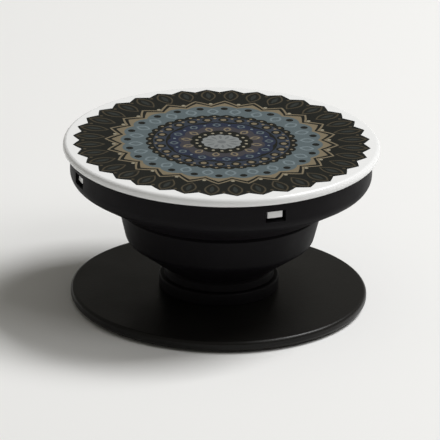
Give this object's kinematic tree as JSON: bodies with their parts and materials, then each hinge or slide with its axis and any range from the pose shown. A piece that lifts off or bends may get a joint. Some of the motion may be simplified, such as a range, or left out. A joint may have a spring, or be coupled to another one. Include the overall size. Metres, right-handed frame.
{
  "type": "collapsible phone grip",
  "caption": "Round stick-on phone grip: a printed button on a folding accordion that swivels on a thin platform, pressed flat or pulled out to be held between the fingers.",
  "frame": {"origin": "centre of the sticky face under the adhesive pad", "axes": "+Z out of the phone, along the axis that the grip swivels and collapses on; +X through one of the four snap tabs"},
  "size_m": [0.0406, 0.0406, 0.0215],
  "materials": {
    "button": "gloss",
    "accordion": "satin",
    "platform": "satin",
    "adhesive_pad": "tacky"
  },
  "bodies": {
    "platform": {"platform": "platform", "adhesive_pad": "adhesive_pad"},
    "accordion": {"accordion": "accordion"},
    "button": {"button": "button"}
  },
  "joints": [
    {"name": "swivel", "type": "hinge", "parent": "platform", "child": "accordion", "pos_m": [0, 0, 0.0019], "axis": [0, 0, 1], "continuous": true},
    {"name": "collapse", "type": "slide", "parent": "accordion", "child": "button", "axis": [0, 0, -1], "range_m": [0, 0.014], "deforming": ["accordion"]}
  ]
}
